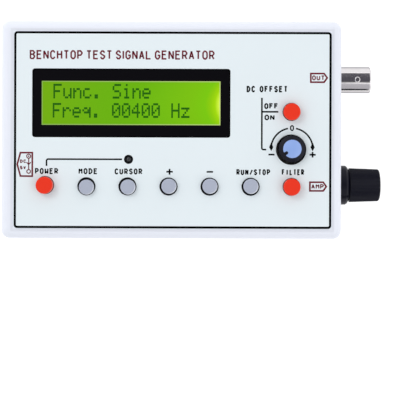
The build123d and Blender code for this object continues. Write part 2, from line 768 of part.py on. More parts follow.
with BuildPart() as amplitude_knob:
    pointer_width = 0.9
    with BuildSketch(amplitude_plane(grip_x)):
        knurled_section(grip_radius)
    with BuildSketch(amplitude_plane(dome_x + 0.2)):
        knurled_section(tip_radius)
    loft(ruled=True)
    amplitude_dome(Mode.INTERSECT)
    # Skirt, which narrows to a V-shaped neck behind the grip
    skirt_profile = [
        (skirt_x, 0),
        (skirt_x, skirt_radius),
        (skirt_x + 2.1, skirt_radius),
        (skirt_x + 2.7, skirt_radius - 0.4),
        (grip_x - 0.15, neck_radius),
        (grip_x + 0.1, neck_radius),
        (grip_x + 0.1, 0),
    ]
    with BuildSketch(Plane.XZ.offset(-amplitude_y)):
        with Locations((0, end_axis_z)):
            Polygon(*skirt_profile, align=None)
    revolve(axis=amplitude_axis)
    # Pointed nib at the skirt's edge, and the rib that leads to it
    with BuildSketch(amplitude_plane(skirt_x)):
        Polygon((skirt_radius - 0.4, -0.75), (skirt_radius + 0.6, 0), (skirt_radius - 0.4, 0.75), align=None)
    extrude(amount=1.9)
    with BuildSketch(amplitude_plane(skirt_x)):
        with Locations((6.4, 0)):
            Rectangle(1.7, pointer_width)
    extrude(amount=2.9)
    with BuildSketch(amplitude_plane(skirt_x)):
        shaft_section(knob_fit)
    extrude(amount=amplitude_shaft_tip_x + 0.2 - skirt_x, mode=Mode.SUBTRACT)
    recess = insert_outline(amplitude_plane(dome_x - 1.1), amplitude_insert_radius, pointer_width, 0.86, 0.6)
    extrude(recess, amount=2.0, mode=Mode.SUBTRACT)
save(amplitude_knob, "amplitude_knob")

with BuildPart() as amplitude_knob_insert:
    insert_plane = amplitude_plane(dome_x - 1.1)
    outline = insert_outline(insert_plane, amplitude_insert_radius - 0.03, pointer_width + 0.06, 0.83, 0.6)
    extrude(outline, amount=2.0)
    amplitude_dome(Mode.INTERSECT)
save(amplitude_knob_insert, "amplitude_knob_insert")

# ---------------------------------------------------------------- output socket

barrel_radius = 4.8
barrel_tip_x = 72.9
barrel_bore_radius = 4.05
barrel_bore_x = 60.75
block_x = 47.75
flange_x = 57.35
flange_face_x = 58.95
insulator_radius = 2.4
insulator_tip_x = 71.7
contact_radius = 0.96
lug_x = 67.8
lug_radius = 1.05
lug_reach = 5.5

with BuildPart() as bnc_body:
    box_between((block_x, output_y - 6.0, board_top_z), (flange_x, output_y + 6.0, 17.2))
    with Locations(*[(x, y, board_top_z) for x, y in ground_pin_places]):
        Cylinder(0.8, 2.6, align=(Align.CENTER, Align.CENTER, Align.MAX))
    with BuildSketch(Plane.YZ.offset(flange_x)):
        with Locations((output_y, end_axis_z)):
            Circle(5.9)
        with Locations((output_y, end_axis_z + 5.0)):
            Rectangle(12, 12, align=(Align.CENTER, Align.MAX), mode=Mode.INTERSECT)
    extrude(amount=flange_face_x - flange_x)
    end_rod(output_y, end_axis_z, barrel_radius, flange_face_x, barrel_tip_x)
    fillet(bnc_body.faces().sort_by(Axis.X)[-1].edges(), radius=0.45)
    # Bayonet lugs above and below
    with Locations((lug_x, output_y, end_axis_z)):
        Cylinder(lug_radius, 2 * lug_reach)
    lug_ends = [e for e in bnc_body.edges() if abs(abs(e.center().Z - end_axis_z) - lug_reach) < 0.01]
    fillet(lug_ends, radius=0.35)
    end_rod(output_y, end_axis_z, barrel_bore_radius, barrel_bore_x, barrel_tip_x, mode=Mode.SUBTRACT)
    chamfer(bnc_body.faces().sort_by(Axis.X)[-1].inner_wires()[0].edges(), length=0.2)
    end_rod(output_y, end_axis_z, insulator_radius + 0.02, block_x, barrel_bore_x, mode=Mode.SUBTRACT)
save(bnc_body, "bnc_body")

with BuildPart() as bnc_insulator:
    end_rod(output_y, end_axis_z, insulator_radius, block_x + 0.5, insulator_tip_x)
    chamfer(bnc_insulator.faces().sort_by(Axis.X)[-1].edges(), length=0.2)
    end_rod(output_y, end_axis_z, 0.52, block_x + 0.5, flange_x, mode=Mode.SUBTRACT)
    end_rod(output_y, end_axis_z, contact_radius + 0.02, flange_x, insulator_tip_x, mode=Mode.SUBTRACT)
save(bnc_insulator, "bnc_insulator")

with BuildPart() as bnc_contact:
    socket_tip_x = insulator_tip_x - 0.2
    end_rod(output_y, end_axis_z, contact_radius, flange_x + 0.1, socket_tip_x)
    end_rod(output_y, end_axis_z, 0.68, socket_tip_x - 5, socket_tip_x, mode=Mode.SUBTRACT)
    slot_low = (socket_tip_x - 4, output_y - 1.2, end_axis_z - 0.12)
    slot_high = (socket_tip_x, output_y + 1.2, end_axis_z + 0.12)
    box_between(slot_low, slot_high, mode=Mode.SUBTRACT)
    # Tail that turns down through the board
    end_rod(output_y, end_axis_z, 0.5, contact_tail_x, flange_x + 0.1)
    disc((contact_tail_x, output_y), 0.5, 2.8, end_axis_z)
    with Locations((contact_tail_x, output_y, end_axis_z)):
        Sphere(0.5)
save(bnc_contact, "bnc_contact")
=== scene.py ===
import json
from math import cos, radians, sin

import bmesh
import bpy
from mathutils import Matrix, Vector


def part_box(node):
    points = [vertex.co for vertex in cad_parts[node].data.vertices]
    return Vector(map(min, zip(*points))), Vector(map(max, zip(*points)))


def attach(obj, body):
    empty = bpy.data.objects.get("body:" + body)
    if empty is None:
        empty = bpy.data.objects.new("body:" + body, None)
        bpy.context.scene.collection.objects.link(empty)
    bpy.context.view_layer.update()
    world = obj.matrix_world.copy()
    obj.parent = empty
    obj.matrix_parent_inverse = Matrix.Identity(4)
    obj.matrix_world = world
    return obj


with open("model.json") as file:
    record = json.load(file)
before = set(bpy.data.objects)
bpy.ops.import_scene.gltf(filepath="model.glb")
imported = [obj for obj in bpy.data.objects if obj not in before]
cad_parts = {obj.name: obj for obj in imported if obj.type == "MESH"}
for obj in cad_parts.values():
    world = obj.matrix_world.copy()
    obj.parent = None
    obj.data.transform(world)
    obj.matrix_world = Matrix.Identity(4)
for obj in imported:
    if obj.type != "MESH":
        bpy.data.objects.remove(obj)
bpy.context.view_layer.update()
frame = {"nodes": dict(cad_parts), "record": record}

# A bench function generator seen straight from above its panel. The CAD pieces get their finishes
# here, and what is printed on the panel and shown on the display is added. Prints are drawn in
# millimetres, +X to the output end and +Y to the top of the panel.

MM = 0.001


def middle(node):
    """A CAD node's centre, in millimetres."""
    low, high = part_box(node)
    return (low + high) / 2 / MM


def top_of(node):
    """A CAD node's highest point, in millimetres."""
    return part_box(node)[1].z / MM


# ---------------------------------------------------------------- tones

# How brightly the studio lights a level white surface; tones are what the camera then sees
EXPOSURE = 1.2


def linear(step):
    """A display's step from 0 to 255 as an amount of light, by the usual sRGB curve."""
    value = step / 255
    return value / 12.92 if value <= 0.04045 else ((value + 0.055) / 1.055) ** 2.4


def colour_of(tone, factor=1.0):
    """The colour of a tone given as three steps from 0 to 255, lighter or darker by a factor."""
    return (*[min(1.0, factor * linear(step)) for step in tone], 1.0)


def albedo(tone, factor=1.0):
    """The paint colour that shows as a tone under the studio's light."""
    return colour_of(tone, factor / EXPOSURE)


def shaded(tone, share):
    """The paint colour that shows as a share of a tone's steps."""
    return albedo([step * share for step in tone])


# ---------------------------------------------------------------- material nodes

def feed(tree, socket, value):
    """Gives an input socket a number, a colour or another node's output."""
    if isinstance(value, bpy.types.NodeSocket):
        tree.links.new(value, socket)
    else:
        socket.default_value = value


def add_node(tree, kind, **inputs):
    """A new node with its inputs fed by name."""
    node = tree.nodes.new(kind)
    for name, value in inputs.items():
        feed(tree, node.inputs[name.replace("_", " ")], value)
    return node


def arithmetic(tree, operation, *values):
    """The result of a sum on numbers or other nodes' values."""
    node = tree.nodes.new("ShaderNodeMath")
    node.operation = operation
    for socket, value in zip(node.inputs, values):
        feed(tree, socket, value)
    return node.outputs["Value"]


def remap(tree, value, to_low, to_high, from_low=0.3, from_high=0.7):
    """A value moved from one range to another; noise mostly lies between 0.3 and 0.7."""
    node = add_node(tree, "ShaderNodeMapRange", Value=value, From_Min=from_low, From_Max=from_high,
                    To_Min=to_low, To_Max=to_high)
    return node.outputs["Result"]


def mix(tree, factor, first, second, blend="MIX"):
    """The first colour giving way to the second with a factor."""
    node = tree.nodes.new("ShaderNodeMix")
    node.data_type = "RGBA"
    node.blend_type = blend
    for name, value in (("Factor", factor), ("A", first), ("B", second)):
        feed(tree, node.inputs[name], value)
    return node.outputs["Result"]


def ramp(tree, value, stops):
    """A colour that runs through stops, each a value and its colour."""
    node = add_node(tree, "ShaderNodeValToRGB", Fac=value)
    elements = node.color_ramp.elements
    elements[0].position = stops[0][0]
    elements[1].position = stops[-1][0]
    for position, _ in stops[1:-1]:
        elements.new(position)
    for element, (_, colour) in zip(elements, stops):
        element.color = colour
    return node.outputs["Color"]


def axes_of(tree, vector):
    """The X, Y and Z of a place or a direction."""
    return add_node(tree, "ShaderNodeSeparateXYZ", Vector=vector).outputs


def grain(tree, place, scale, detail=3.0):
    """The value of a noise pattern fixed to the piece, its scale in cells to the metre."""
    return add_node(tree, "ShaderNodeTexNoise", Vector=place, Scale=scale, Detail=detail).outputs["Fac"]


def within(tree, value, low, high):
    """One where a value lies between two numbers, and zero elsewhere."""
    above = arithmetic(tree, "GREATER_THAN", value, low)
    below = arithmetic(tree, "LESS_THAN", value, high)
    return arithmetic(tree, "MULTIPLY", above, below)


def beyond_sides(tree, place, centre, half):
    """How far a place lies beyond the sides of a rectangle in X and Y, and less than zero inside it."""
    axes = axes_of(tree, place)
    beyond = []
    for letter, at, half_side in (("X", centre.x, half.x), ("Y", centre.y, half.y)):
        distance = arithmetic(tree, "ABSOLUTE", arithmetic(tree, "SUBTRACT", axes[letter], at))
        beyond.append(arithmetic(tree, "SUBTRACT", distance, half_side))
    return arithmetic(tree, "MAXIMUM", *beyond)


def relief(tree, height, depth, shader):
    """Fine surface relief of a real depth in metres."""
    bump = add_node(tree, "ShaderNodeBump", Height=height, Strength=1.0, Distance=depth)
    feed(tree, shader.inputs["Normal"], bump.outputs["Normal"])


def start_material(name, **sockets):
    """A new material, its shader with sockets set, and the place on the piece."""
    material = bpy.data.materials.new(name)
    material.use_nodes = True
    tree = material.node_tree
    shader = tree.nodes["Principled BSDF"]
    for socket, value in sockets.items():
        shader.inputs[socket.replace("_", " ")].default_value = value
    place = tree.nodes.new("ShaderNodeTexCoord").outputs["Object"]
    return material, tree, shader, place


# ---------------------------------------------------------------- kinds of surface

# Painted shade in a faint band on the case beside the panel film, where a shallow step would lie in shade:
# where it starts and ends, and its share of the tone
SHADE_BAND_START = (0.1 * MM, 0.4 * MM)
SHADE_BAND_END = (0.9 * MM, 1.3 * MM)
SHADE_BAND_SHARE = 0.955

# Painted shade on the walls of the panel's openings, nearly black from just under the film's face down into
# the case
OPENING_SHADE_COLOUR = (0.02, 0.02, 0.022, 1.0)
OPENING_TOP = 0.03 * MM
OPENING_DEPTH = 1.5 * MM
FILM_MARGIN = 1.0 * MM


def panel_painted_shade(tree, place, colour, tone):
    """The colour of the case and the film, with painted shade in a band beside the film and in the openings.
    """
    low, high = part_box("panel_overlay")
    beyond = beyond_sides(tree, place, (low + high) / 2, (high - low) / 2)
    # Painted shade in a faint band just outside the film's edge
    rise = remap(tree, beyond, 0.0, 1.0, *SHADE_BAND_START)
    fall = remap(tree, beyond, 1.0, 0.0, *SHADE_BAND_END)
    colour = mix(tree, arithmetic(tree, "MULTIPLY", rise, fall), colour, shaded(tone, SHADE_BAND_SHARE))

    # Painted shade, nearly black, on the walls of the openings below the film
    axes = axes_of(tree, place)
    in_length = within(tree, axes["X"], low.x + FILM_MARGIN, high.x - FILM_MARGIN)
    in_width = within(tree, axes["Y"], low.y + FILM_MARGIN, high.y - FILM_MARGIN)
    in_depth = within(tree, axes["Z"], low.z - OPENING_DEPTH, high.z - OPENING_TOP)
    opening_shade = arithmetic(tree, "MULTIPLY", arithmetic(tree, "MULTIPLY", in_length, in_width), in_depth)
    return mix(tree, opening_shade, colour, OPENING_SHADE_COLOUR)


# The caps' painted shade and painted highlight: how dark the painted shade on their sides is by the panel
# and how far below its face that starts, and which way a bevel faces where its painted highlight lies, how
# far it has to turn that way, and how far up
SIDE_SHADE_SHARE = 0.3
SIDE_SHADE_FOOT = 0.4 * MM
HIGHLIGHT_FACING = (0.7, -0.7, 0.0)
HIGHLIGHT_TURN = (0.15, 0.6)
HIGHLIGHT_RISE = 0.05


def cap_painted_shade_and_highlight(highlight_tone, reach):
    """A button cap's colour, with painted shade on its sides up to a reach above the panel, in millimetres,
    and a painted highlight along its bevel at the front right."""
    def painted_light(tree, place, colour, tone):
        film_top = top_of("panel_overlay") * MM
        # Painted shade on the cap's sides, darkest by the panel
        height = axes_of(tree, place)["Z"]
        side_shade = remap(tree, height, 1.0, 0.0, film_top - SIDE_SHADE_FOOT, film_top + reach * MM)
        colour = mix(tree, side_shade, colour, shaded(tone, SIDE_SHADE_SHARE))

        # Painted highlight on the bevel where it faces the front right
        normal = place.node.outputs["Normal"]
        facing = tree.nodes.new("ShaderNodeVectorMath")
        facing.operation = "DOT_PRODUCT"
        feed(tree, facing.inputs[0], normal)
        feed(tree, facing.inputs[1], HIGHLIGHT_FACING)
        turned = remap(tree, facing.outputs["Value"], 0.0, 1.0, *HIGHLIGHT_TURN)
        upward = arithmetic(tree, "GREATER_THAN", axes_of(tree, normal)["Z"], HIGHLIGHT_RISE)
        return mix(tree, arithmetic(tree, "MULTIPLY", turned, upward), colour, albedo(highlight_tone))
    return painted_light


def moulded(name, tone, rough, mottle=0.03, cloud=90.0, pores=5000.0, depth=4e-6, painted_light=None, **sockets):
    """Moulded or painted stock: cloudy colour, uneven gloss and a fine skin texture, and any painted shade
    or highlight that a given function adds.
    """
    material, tree, shader, place = start_material(name, **sockets)
    clouds = grain(tree, place, cloud)
    skin = grain(tree, place, pores, 2.0)
    colour = mix(tree, clouds, albedo(tone, 1 - mottle), albedo(tone, 1 + mottle))
    if painted_light:
        colour = painted_light(tree, place, colour, tone)
    feed(tree, shader.inputs["Base Color"], colour)
    feed(tree, shader.inputs["Roughness"], remap(tree, skin, rough * 0.88, rough * 1.12))
    relief(tree, skin, depth, shader)
    return material


# Painted shade inside the output socket's barrel: its radius, and how far behind the front it starts
BORE_RADIUS = 4.12 * MM
BARREL_RIM = 0.25 * MM


def in_bore(tree, place):
    """One inside the output socket's barrel, behind its front rim, and zero elsewhere."""
    axes = axes_of(tree, place)
    axis = middle("bnc_insulator") * MM
    squares = []
    for letter, at in (("Y", axis.y), ("Z", axis.z)):
        off = arithmetic(tree, "SUBTRACT", axes[letter], at)
        squares.append(arithmetic(tree, "MULTIPLY", off, off))
    near = arithmetic(tree, "LESS_THAN", arithmetic(tree, "ADD", *squares), BORE_RADIUS ** 2)
    behind = arithmetic(tree, "LESS_THAN", axes["X"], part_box("bnc_body")[1].x - BARREL_RIM)
    return arithmetic(tree, "MULTIPLY", near, behind)


# Cells to the metre, across the tool lines and elsewhere
TOOL_LINES = 9000.0
PLAIN_GRAIN = 500.0


def metal(name, tone, rough, turned=(0, 0, 0), bore_shade=None, **sockets):
    """Plated or bare metal, with fine tool lines across the direction it was turned about, if any."""
    material, tree, shader, place = start_material(name, Metallic=1.0, **sockets)
    stretch = add_node(tree, "ShaderNodeMapping", Vector=place,
                       Scale=[TOOL_LINES if step else PLAIN_GRAIN for step in turned])
    lines = grain(tree, stretch.outputs["Vector"], 1.0, 2.0)
    stain = grain(tree, place, 300.0)
    colour = mix(tree, stain, colour_of(tone, 0.94), colour_of(tone, 1.06))
    # Painted shade inside the barrel, behind its front rim
    if bore_shade:
        colour = mix(tree, in_bore(tree, place), colour, colour_of(bore_shade))
    feed(tree, shader.inputs["Base Color"], colour)
    feed(tree, shader.inputs["Roughness"], remap(tree, lines, rough * 0.8, rough * 1.25))
    relief(tree, lines, 1.5e-6, shader)
    return material


# The lit window of the display: half its size and its shift from the film's middle
LIT_HALF = Vector((32.1, 7.9, 0.0)) * MM
LIT_SHIFT = Vector((-0.13, 0.01, 0.0)) * MM

# The window's pale rim: how far inside its edge it starts, the width over which it comes in, how
# much it then covers, and its tones at the left and right
RIM_WIDTH = 0.45 * MM
RIM_FADE = 0.3 * MM
RIM_SHARE = 0.8
RIM_TONES = ((160, 195, 110), (214, 232, 150))

# The window's glow by the share of its length from the left end. The glow is furthest along on a
# line a little below the middle, and lags away from that line by the square of the distance.
GLOW_TONES = [(0.016, (115, 175, 13)), (0.329, (107, 178, 12)), (0.495, (106, 180, 9)),
              (0.664, (115, 188, 13)), (0.830, (123, 194, 12)), (0.914, (122, 200, 11)),
              (0.942, (140, 204, 8)), (0.970, (162, 218, 6)), (0.988, (208, 245, 62)),
              (1.0, (226, 252, 120))]
GLOW_DROP = 0.6 * MM
GLOW_LAG = 830.0

# How strongly the film reflects in the glow's own colour
FILM_SHARE = 0.28


def polarizer_film():
    """The lit display: yellow-green, brighter towards the lamp at its right end, with a pale rim."""
    material, tree, shader, place = start_material("lcd_film", Roughness=0.3, Specular_IOR_Level=0.15,
                                                    Emission_Strength=0.68)
    axes = axes_of(tree, place)
    centre = middle("lcd_polarizer") * MM + LIT_SHIFT
    from_left = arithmetic(tree, "SUBTRACT", axes["X"], centre.x - LIT_HALF.x)
    along = arithmetic(tree, "DIVIDE", from_left, 2 * LIT_HALF.x)
    off_line = arithmetic(tree, "SUBTRACT", axes["Y"], centre.y - GLOW_DROP)
    lag = arithmetic(tree, "MULTIPLY", arithmetic(tree, "MULTIPLY", off_line, off_line), GLOW_LAG)
    stops = [(position, colour_of(tone)) for position, tone in GLOW_TONES]
    lit = ramp(tree, arithmetic(tree, "SUBTRACT", along, lag), stops)

    pale = mix(tree, along, *[colour_of(tone) for tone in RIM_TONES])
    beyond = beyond_sides(tree, place, centre, LIT_HALF - Vector((RIM_WIDTH, RIM_WIDTH, 0.0)))
    glow = mix(tree, remap(tree, beyond, 0.0, RIM_SHARE, 0.0, RIM_FADE), lit, pale)
    reflected = mix(tree, 1.0, glow, (FILM_SHARE, FILM_SHARE, FILM_SHARE, 1.0), "MULTIPLY")
    feed(tree, shader.inputs["Emission Color"], glow)
    feed(tree, shader.inputs["Base Color"], reflected)
    relief(tree, grain(tree, place, 3000.0), 1e-6, shader)
    return material


# ---------------------------------------------------------------- finishes

FINISHES = {
    # The case and the film carry painted shade beside the film and in the panel's openings
    "shell_abs": moulded("shell_abs", (239, 243, 253), 0.42, mottle=0.008, cloud=25.0, depth=6e-6,
                         painted_light=panel_painted_shade),
    "overlay_film": moulded("overlay_film", (237, 247, 251), 0.34, mottle=0.01, cloud=40.0, depth=3e-6,
                            painted_light=panel_painted_shade),
    "steel_screw": metal("steel_screw", (205, 206, 210), 0.3),
    "bezel_black": moulded("bezel_black", (5, 4, 9), 0.5, mottle=0.1, depth=3e-6, Specular_IOR_Level=0.06),
    "lcd_film": polarizer_film(),
    "lcd_glass": moulded("lcd_glass", (150, 165, 130), 0.08, Transmission_Weight=0.6),
    "backlight": moulded("backlight", (205, 225, 150), 0.4),
    "zebra_rubber": moulded("zebra_rubber", (60, 60, 62), 0.7, mottle=0.1),
    "board_green": moulded("board_green", (30, 90, 55), 0.35, mottle=0.12, cloud=500.0, Coat_Weight=0.3),
    "epoxy_black": moulded("epoxy_black", (22, 22, 24), 0.3, mottle=0.1),
    "header_black": moulded("header_black", (25, 25, 27), 0.5, mottle=0.08),
    "pin_metal": metal("pin_metal", (222, 196, 130), 0.22),
    "chip_black": moulded("chip_black", (32, 32, 34), 0.5, mottle=0.08),
    "network_black": moulded("network_black", (24, 24, 26), 0.4, mottle=0.08),
    "can_metal": metal("can_metal", (205, 205, 208), 0.25),
    "capacitor_sleeve": moulded("capacitor_sleeve", (36, 40, 62), 0.35),
    "ferrite": moulded("ferrite", (52, 48, 46), 0.6, mottle=0.15, cloud=900.0),
    "trimmer_blue": moulded("trimmer_blue", (52, 92, 178), 0.4),
    "led_lens": moulded("led_lens", (62, 64, 68), 0.2, mottle=0.08, Coat_Weight=0.4),
    "tinned_lead": metal("tinned_lead", (205, 205, 206), 0.35),
    "jack_black": moulded("jack_black", (26, 26, 28), 0.45, mottle=0.08),
    # The socket's nickel, with painted shade inside its barrel
    "nickel": metal("nickel", (214, 211, 212), 0.12, turned=(1, 0, 0), bore_shade=(82, 74, 68),
                    Specular_Tint=(0.3, 0.3, 0.32, 1.0)),
    "switch_body": moulded("switch_body", (40, 40, 42), 0.45, mottle=0.08),
    "plunger_plastic": moulded("plunger_plastic", (214, 214, 208), 0.45),
    # The red caps carry painted shade on their sides and a painted highlight on their bevels
    "cap_red": moulded("cap_red", (240, 58, 36), 0.32, Specular_IOR_Level=0.15,
                       painted_light=cap_painted_shade_and_highlight((246, 120, 104), 1.9)),
    # The grey caps carry painted shade on their sides and a painted highlight on their bevels
    "cap_grey": moulded("cap_grey", (177, 184, 201), 0.36, mottle=0.02, Specular_IOR_Level=0.35,
                        painted_light=cap_painted_shade_and_highlight((222, 226, 236), 1.6)),
    "pot_metal": metal("pot_metal", (190, 188, 182), 0.35),
    "shaft_metal": metal("shaft_metal", (205, 204, 202), 0.28),
    "knob_black": moulded("knob_black", (4, 5, 24), 0.45, mottle=0.06, Specular_IOR_Level=0.2),
    "insert_red": moulded("insert_red", (200, 18, 26), 0.35, Specular_IOR_Level=0.15),
    "insert_blue": moulded("insert_blue", (146, 176, 236), 0.34, mottle=0.02),
    "contact_bronze": metal("contact_bronze", (150, 100, 62), 0.3),
    "dielectric_white": moulded("dielectric_white", (196, 187, 184), 0.4, Subsurface_Weight=0.2,
                                Subsurface_Radius=(1e-3, 1e-3, 1e-3)),
}

slot_of = {part["node"]: part["material_slot"] for part in frame["record"]["subparts"]}
for node, piece in frame["nodes"].items():
    finish = "contact_bronze" if node == "bnc_contact" else slot_of[node]
    piece.data.materials.clear()
    piece.data.materials.append(FINISHES[finish])


def ink(name, tone, mottle, gloss, rough=0.5, depth=2e-6):
    """A thin, slightly uneven coat of print."""
    return moulded(name, tone, rough, mottle=mottle, cloud=400.0, depth=depth, Specular_IOR_Level=gloss)


INKS = {
    "black": ink("ink_black", (4, 5, 8), 0.06, 0.08),
    "red": ink("ink_red", (112, 24, 42), 0.05, 0.2),
    "line": ink("ink_line", (1, 1, 2), 0.1, 0.03),
    "segment": ink("segment_dark", (30, 98, 2), 0.04, 0.15, rough=0.4, depth=1e-6),
}

# ---------------------------------------------------------------- flat printed solids

INK_SINK = 0.01
INK_RISE = 0.02


def level(node):
    """The lowest and highest Z of ink printed on a CAD node."""
    return top_of(node) - INK_SINK, top_of(node) + INK_RISE


PANEL = level("panel_overlay")

# Keeps a sharp corner's mitre short
MITRE_LIMIT = 0.6


def arc(centre, radius, start, end, steps=24):
    """Points along an arc, in degrees."""
    angles = [radians(start + (end - start) * i / steps) for i in range(steps + 1)]
    return [(centre[0] + radius * cos(a), centre[1] + radius * sin(a)) for a in angles]


def strip(mesh, path, width, closed=False):
    """A flat bar of even width printed on the panel along a path, mitred at its corners."""
    points = [Vector(point) for point in path]
    count = len(points)
    stations = []
    for i, point in enumerate(points):
        into = (point - points[i - 1]).normalized() if closed or i > 0 else None
        out = (points[(i + 1) % count] - point).normalized() if closed or i < count - 1 else None
        into, out = into or out, out or into
        tangent = (into + out).normalized()
        side = Vector((-tangent.y, tangent.x))
        reach = width / 2 / max(MITRE_LIMIT, side.dot(Vector((-out.y, out.x))))
        corners = [(-1, PANEL[0]), (1, PANEL[0]), (1, PANEL[1]), (-1, PANEL[1])]
        stations.append([mesh.verts.new((*(point + side * reach * sign), z)) for sign, z in corners])
    following = stations[1:] + (stations[:1] if closed else [])
    for here, there in zip(stations, following):
        for k in range(4):
            mesh.faces.new((here[k], here[k - 1], there[k - 1], there[k]))
    if not closed:
        mesh.faces.new(stations[0])
        mesh.faces.new(reversed(stations[-1]))


def patch(mesh, outline, z_range=PANEL):
    """A flat filled shape, on the panel unless another level is given."""
    low, high = [[mesh.verts.new((x, y, z)) for x, y in outline] for z in z_range]
    mesh.faces.new(reversed(low))
    mesh.faces.new(high)
    for i in range(len(outline)):
        mesh.faces.new((low[i - 1], low[i], high[i], high[i - 1]))


def ring(mesh, centre, radius, width):
    """A circle's outline, in steps of 15 degrees."""
    strip(mesh, arc(centre, radius, 0, 345, 23), width, closed=True)


# Letters as strokes on a grid 6 wide and 9 high, each point written as two digits
STROKES = {
    "A": "00 39,39 60,13 53", "B": "00 09 49 67 45 05,45 63 62 40 00", "C": "67 49 29 07 02 20 40 62",
    "D": "00 09 39 66 63 30 00", "E": "69 09 00 60,05 55", "F": "69 09 00,05 55",
    "G": "67 49 29 07 02 20 40 62 64 34", "H": "00 09,60 69,05 65", "I": "30 39", "L": "09 00 60",
    "M": "00 09,09 35,35 69,69 60", "N": "00 09,09 60,60 69", "O": "29 49 67 62 40 20 02 07 29",
    "P": "00 09 49 67 66 44 04", "R": "00 09 49 67 66 44 04,34 60",
    "S": "67 49 29 07 06 25 44 63 62 40 20 02", "T": "09 69,39 30", "U": "09 02 20 40 62 69",
    "V": "09 30,30 69", "W": "09 00,00 34,34 60,60 69", "/": "00 69",
    "0": "29 49 67 62 40 20 02 07 29", "5": "69 09 05 45 63 62 40 20 02",
}
GRID_WIDE, GRID_HIGH = 6, 9


def lettering(mesh, text, centre, size, stroke, gap=0.28, narrow=None):
    """Letters of even stroke fitted to a width and height about a centre.
    Every letter is as wide as the next, but for the shares of that width given in narrow."""
    shares = [(narrow or {}).get(letter, 1.0) for letter in text]
    unit = size[0] / (sum(shares) + gap * (len(text) - 1))
    x = centre[0] - size[0] / 2
    low_y = centre[1] - size[1] / 2 + stroke / 2
    tall = size[1] - stroke
    for letter, share in zip(text, shares):
        wide = unit * share
        low_x = x + stroke / 2
        for path in STROKES[letter].split(",") if letter != " " else ():
            points = [(low_x + (wide - stroke) * int(across) / GRID_WIDE, low_y + tall * int(up) / GRID_HIGH)
                      for across, up in path.split()]
            round_trip = points[0] == points[-1]
            strip(mesh, points[:-1] if round_trip else points, stroke, closed=round_trip)
        x += wide + gap * unit


def make_piece(name, mesh, material, body):
    """A finished piece from a mesh drawn in millimetres."""
    bmesh.ops.recalc_face_normals(mesh, faces=mesh.faces)
    bmesh.ops.scale(mesh, vec=(MM, MM, MM), verts=mesh.verts)
    data = bpy.data.meshes.new(name)
    mesh.to_mesh(data)
    mesh.free()
    data.materials.append(material)
    piece = bpy.data.objects.new(name, data)
    bpy.context.scene.collection.objects.link(piece)
    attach(piece, body)


# ---------------------------------------------------------------- frame line of the panel

edge_low, edge_high = [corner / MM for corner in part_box("panel_overlay")]

# Printed a little high and to the right on the film
border = bmesh.new()
border_width, corner_radius = 0.8, 0.8
left, right = edge_low.x + 0.54, edge_high.x - 0.4
bottom, top = edge_low.y + 0.5, edge_high.y - 0.4
high_x, low_x = right - corner_radius, left + corner_radius
high_y, low_y = top - corner_radius, bottom + corner_radius
border_path = []
for i, centre in enumerate([(high_x, high_y), (low_x, high_y), (low_x, low_y), (high_x, low_y)]):
    border_path += arc(centre, corner_radius, 90 * i, 90 * i + 90, 6)
strip(border, border_path, border_width, closed=True)
make_piece("panel_border_line", border, INKS["line"], "case")

# ---------------------------------------------------------------- black print

black = bmesh.new()
LINE_WIDTH = 0.58
SIGN_WIDTH = 0.6
TURN_RADIUS = 0.6


def minus_sign(x, y, half_wide):
    """A level bar."""
    strip(black, [(x - half_wide, y), (x + half_wide, y)], SIGN_WIDTH)


def plus_sign(x, y, half_wide, half_tall):
    """A level bar crossed by an upright one."""
    minus_sign(x, y, half_wide)
    strip(black, [(x, y - half_tall), (x, y + half_tall)], SIGN_WIDTH)


LABEL_HEIGHT = 2.15
LABEL_STROKE = 0.48

# Names above the row of buttons: text, shift to the right of the button, rise above the row, width
ROW_LABELS = {
    "power": ("POWER", 0.52, 5.4, 8.3),
    "mode": ("MODE", 0.58, 5.4, 6.8),
    "cursor": ("CURSOR", 0.36, 5.35, 9.9),
    "run_stop": ("RUN/STOP", 0.96, 5.22, 12.1),
    "filter": ("FILTER", 0.45, 5.26, 8.0),
}
row_y = middle("mode_plunger").y
for key, (text, shift, rise, width) in ROW_LABELS.items():
    label_x = middle(f"{key}_plunger").x + shift
    lettering(black, text, (label_x, row_y + rise), (width, LABEL_HEIGHT), LABEL_STROKE)
row_sign_y = row_y + 5.3
plus_sign(middle("plus_plunger").x + 0.37, row_sign_y, 1.15, 1.05)
minus_sign(middle("minus_plunger").x + 0.1, row_sign_y, 1.15)

# Line from the indicator down to the power label
light = middle("power_led")
line_x = middle("power_plunger").x + 0.5
corner = arc((line_x + TURN_RADIUS, light.y - TURN_RADIUS), TURN_RADIUS, 90, 180, 6)
strip(black, [(light.x - 2.3, light.y), *corner, (line_x, light.y - 2.45)], LINE_WIDTH)

# Offset switch: its name, its two positions, and the bracket down to the dial
switch = middle("offset_plunger")
dial = middle("offset_pot_shaft")
lettering(black, "DC OFFSET", (switch.x - 8.8, switch.y + 8.13), (14.7, 2.3), 0.53, narrow={" ": 0.6})
lettering(black, "OFF", (switch.x - 7.3, switch.y + 2.05), (5.0, 2.1), 0.53, gap=0.2)
lettering(black, "ON", (switch.x - 7.9, switch.y - 2.04), (3.6, 2.0), 0.5, gap=0.2)
bracket_x, bracket_foot = switch.x - 10.65, dial.y - 0.32
corner = arc((bracket_x + TURN_RADIUS, bracket_foot + TURN_RADIUS), TURN_RADIUS, 180, 270, 6)
strip(black, [(bracket_x, switch.y + 5.0), *corner, (bracket_x + 1.6, bracket_foot)], LINE_WIDTH)
strip(black, [(bracket_x, switch.y), (bracket_x + 5.9, switch.y)], LINE_WIDTH)

